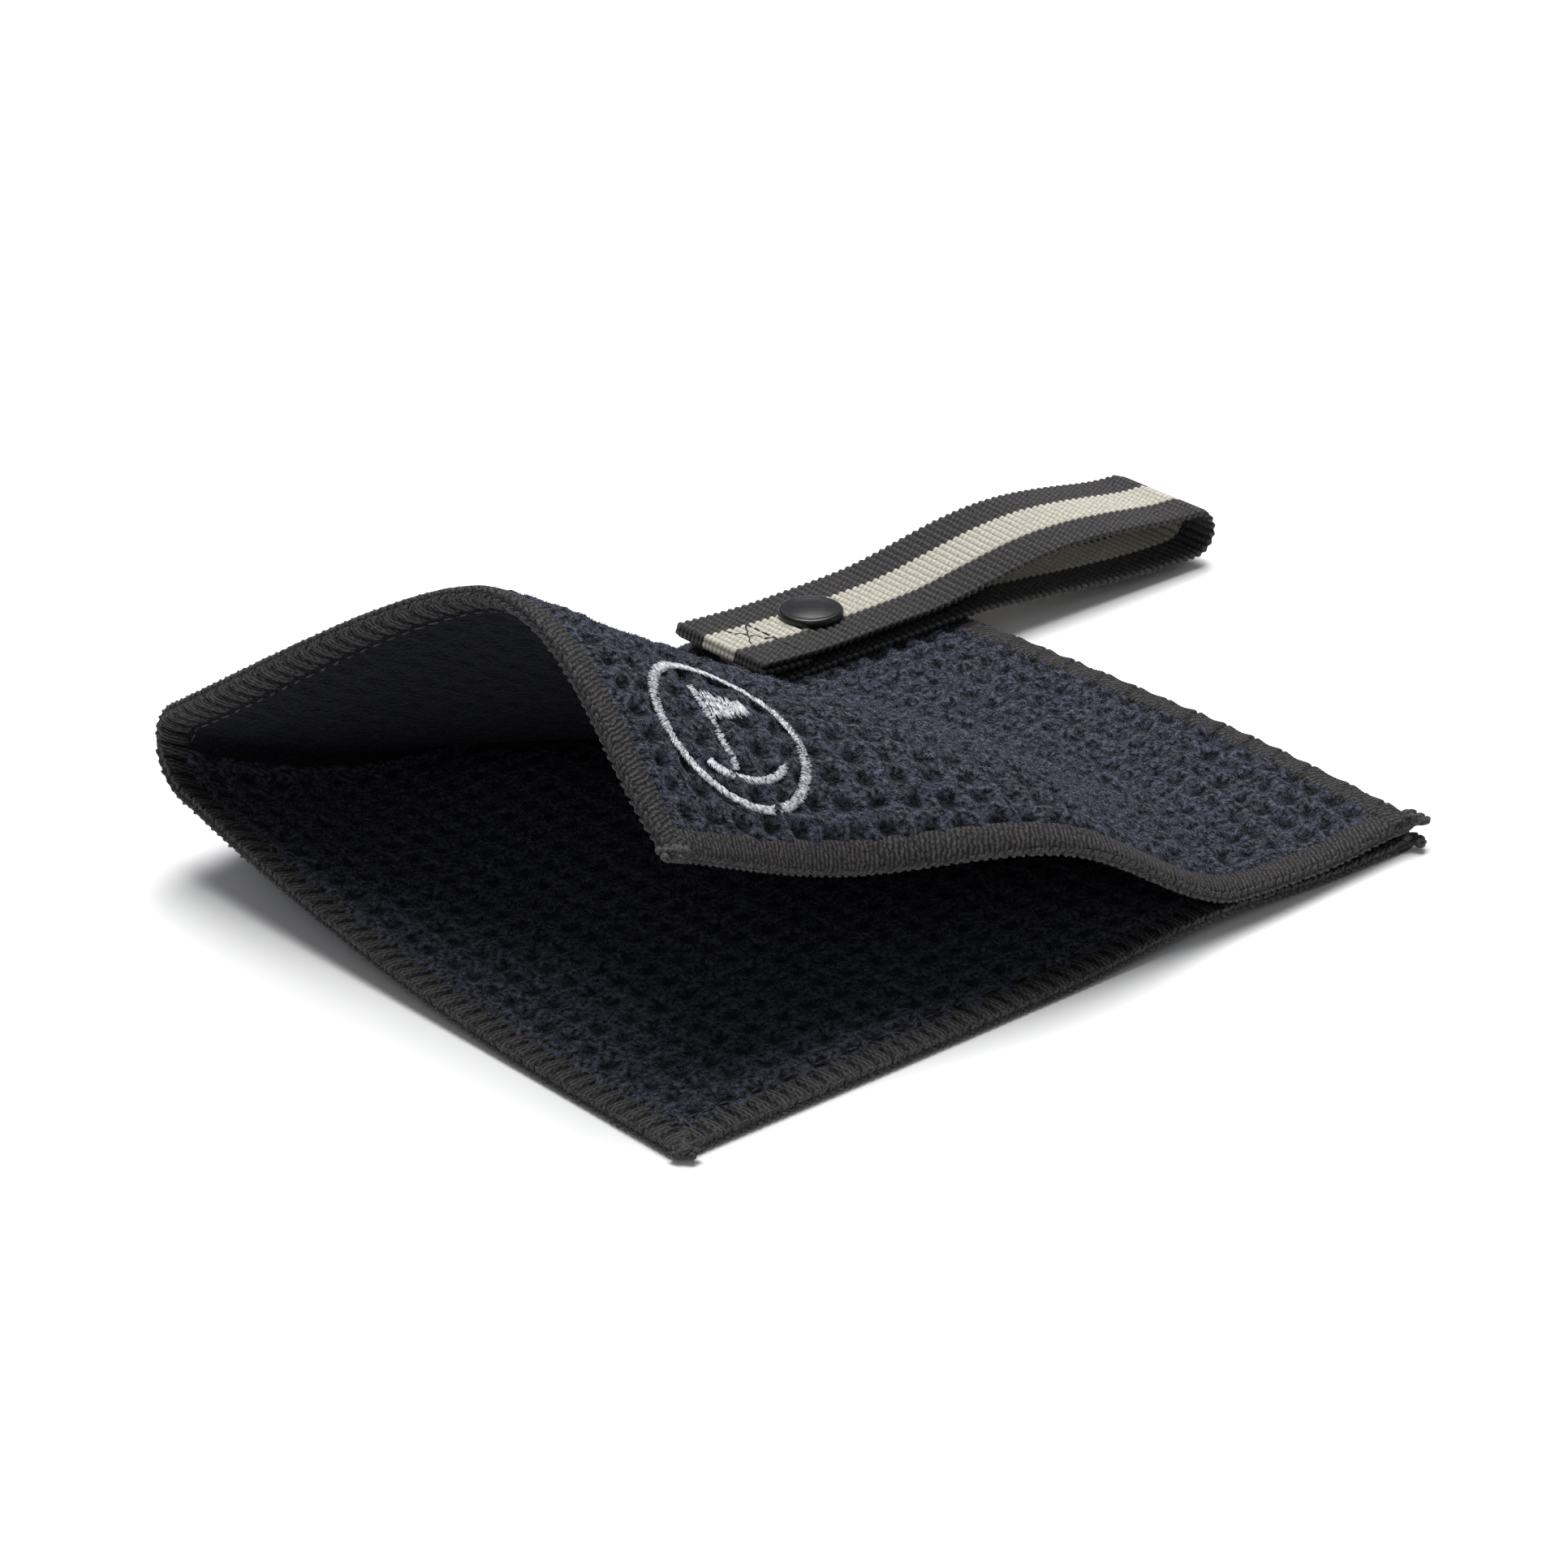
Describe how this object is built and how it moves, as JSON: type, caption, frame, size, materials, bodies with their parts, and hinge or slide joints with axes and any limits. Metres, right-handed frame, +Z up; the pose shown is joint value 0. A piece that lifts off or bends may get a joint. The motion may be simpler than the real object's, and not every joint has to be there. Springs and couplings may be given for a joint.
{
  "type": "golf ball towel",
  "caption": "Pocket golf-ball towel: hemmed towelling sheet folded in half, its raised flap arched for a ball, with a snap webbing loop at the fold.",
  "frame": {"origin": "centre of the folded square's flat underside, on the table", "axes": "+X along the fold toward the strap's loop end, +Y from the free hems toward the fold, +Z up from the table the towel lies on"},
  "size_m": [0.1882, 0.1172, 0.0575],
  "materials": {
    "towelling": "navy waffle-knit microfibre towelling, soft pile",
    "overlock": "black overlocked thread hem",
    "webbing": "black ribbed webbing with a light grey centre stripe",
    "embroidery": "silver grey satin-stitch embroidery",
    "snap_enamel": "black enamelled brass",
    "tab_thread": "black sewing thread"
  },
  "bodies": {
    "base": {"lower_panel": "towelling", "lower_left_edging": "overlock", "lower_front_edging": "overlock", "lower_right_edging": "overlock", "lower_left_tail": "overlock", "lower_right_tail": "overlock"},
    "flap": {"upper_panel": "towelling", "upper_left_edging": "overlock", "upper_front_edging": "overlock", "upper_right_edging": "overlock", "upper_left_tail": "overlock", "upper_right_tail": "overlock", "emblem_ring": "embroidery", "emblem_pole": "embroidery", "emblem_flag": "embroidery", "emblem_green": "embroidery", "strap_sewn_leg": "webbing", "snap_stud": "snap_enamel"},
    "strap_arm": {"strap_free_leg": "webbing", "strap_tab_hem": "webbing", "strap_tab_stitch_across": "tab_thread", "strap_tab_stitch_near": "tab_thread", "strap_tab_stitch_far": "tab_thread", "snap_cap": "snap_enamel", "snap_socket": "snap_enamel"}
  },
  "joints": [
    {"name": "flap_opening", "type": "hinge", "parent": "base", "child": "flap", "pos_m": [0, 0.05625, 0.00535], "axis": [-0.9992, -0.011, 0.0389], "range_deg": [0, 100]},
    {"name": "strap_opening", "type": "hinge", "parent": "flap", "child": "strap_arm", "pos_m": [0.11945, 0.0436, 0.0059], "axis": [0, 1, 0], "range_deg": [0, 150]}
  ]
}
